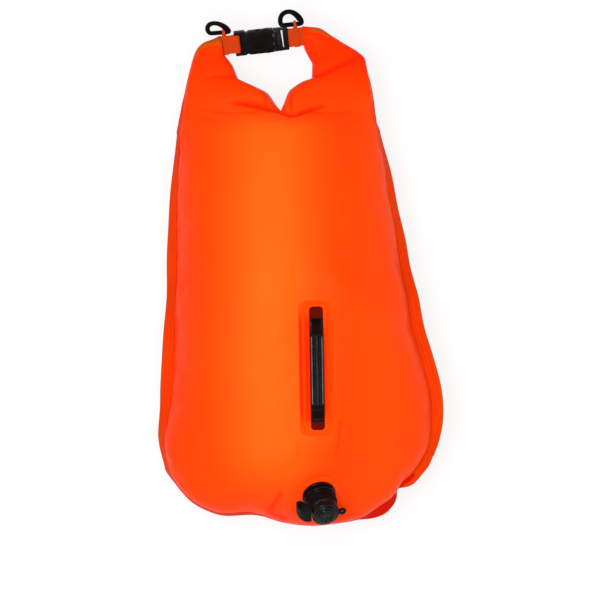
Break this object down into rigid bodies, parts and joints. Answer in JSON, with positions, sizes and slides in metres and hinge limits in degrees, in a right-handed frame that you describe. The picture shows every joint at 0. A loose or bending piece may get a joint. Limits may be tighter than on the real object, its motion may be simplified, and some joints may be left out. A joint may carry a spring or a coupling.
{
  "type": "swim buoy",
  "caption": "Inflated orange swim buoy and dry bag with a welded seam flange, a roll-top closed by a side-release buckle, D-rings, a moulded grip and an inflation valve.",
  "frame": {"origin": "centre of the flat patch of the bag's back, which it rests on", "axes": "+Z out of the bag's front, +Y along the bag from its bottom to its roll-top, +X to the right seen from the front"},
  "size_m": [0.3077, 0.5557, 0.1785],
  "materials": {
    "orange_fabric": "glossy coated fabric, neon orange",
    "inner_fabric": "satin coated fabric, pale orange",
    "orange_webbing": "woven, matte, dark orange",
    "black_plastic": "satin moulded plastic, black",
    "black_rubber": "soft moulded rubber, black"
  },
  "bodies": {
    "bag": {"front_panel": "orange_fabric", "back_panel": "orange_fabric", "inner_bag": "inner_fabric", "roll_left": "orange_fabric", "webbing_left": "orange_webbing", "ring_tab_left": "orange_webbing", "buckle_socket": "black_plastic", "grip_patch": "orange_fabric", "grip": "black_plastic", "valve_patch": "orange_fabric", "valve_base": "black_plastic", "valve_seal": "black_rubber"},
    "plug": {"buckle_plug": "black_plastic", "webbing_right": "orange_webbing", "ring_tab_right": "orange_webbing", "roll_right": "orange_fabric"},
    "spring_arm_upper": {"prong_upper": "black_plastic"},
    "spring_arm_lower": {"prong_lower": "black_plastic"},
    "ring_left": {"d_ring_left": "black_plastic"},
    "ring_right": {"d_ring_right": "black_plastic"},
    "valve_turn": {"valve_insert": "black_plastic", "valve_tether": "black_rubber"},
    "cap": {"valve_cap": "black_plastic", "cap_seal": "black_rubber"},
    "flap": {"check_flap": "black_rubber"}
  },
  "joints": [
    {"name": "buckle_unclip", "type": "slide", "parent": "bag", "child": "plug", "axis": [0.9936, 0.1132, 0], "range_m": [0, 0.026], "deforming": ["prong_upper", "prong_lower"]},
    {"name": "spring_arm_upper_squeeze", "type": "hinge", "parent": "plug", "child": "spring_arm_upper", "pos_m": [-0.02644, 0.32065, 0.08122], "axis": [0.0424, -0.3722, 0.9272], "range_deg": [0, 6], "stiffness_Nm_per_rad": 0.1},
    {"name": "spring_arm_lower_squeeze", "type": "hinge", "parent": "plug", "child": "spring_arm_lower", "pos_m": [-0.02463, 0.3048, 0.07478], "axis": [-0.0424, 0.3722, -0.9272], "range_deg": [0, 6], "stiffness_Nm_per_rad": 0.1},
    {"name": "ring_left_swing", "type": "hinge", "parent": "bag", "child": "ring_left", "pos_m": [-0.08637, 0.31938, 0.0814], "axis": [0.916, 0.0348, 0.3997], "range_deg": [-78, 12]},
    {"name": "ring_right_swing", "type": "hinge", "parent": "plug", "child": "ring_right", "pos_m": [-0.00879, 0.32782, 0.08433], "axis": [0.9489, 0.1249, -0.2899], "range_deg": [-12, 75]},
    {"name": "valve_twist", "type": "hinge", "parent": "bag", "child": "valve_turn", "pos_m": [0.019, -0.17163, 0.1244], "axis": [0.2419, -0.6237, 0.7433], "range_deg": [0, 90]},
    {"name": "cap_pull", "type": "slide", "parent": "valve_turn", "child": "cap", "axis": [0.2419, -0.6237, 0.7433], "range_m": [0, 0.01]},
    {"name": "flap_open", "type": "slide", "parent": "valve_turn", "child": "flap", "axis": [-0.2419, 0.6237, -0.7433], "range_m": [0, 0.0015], "stiffness_N_per_m": 20}
  ]
}
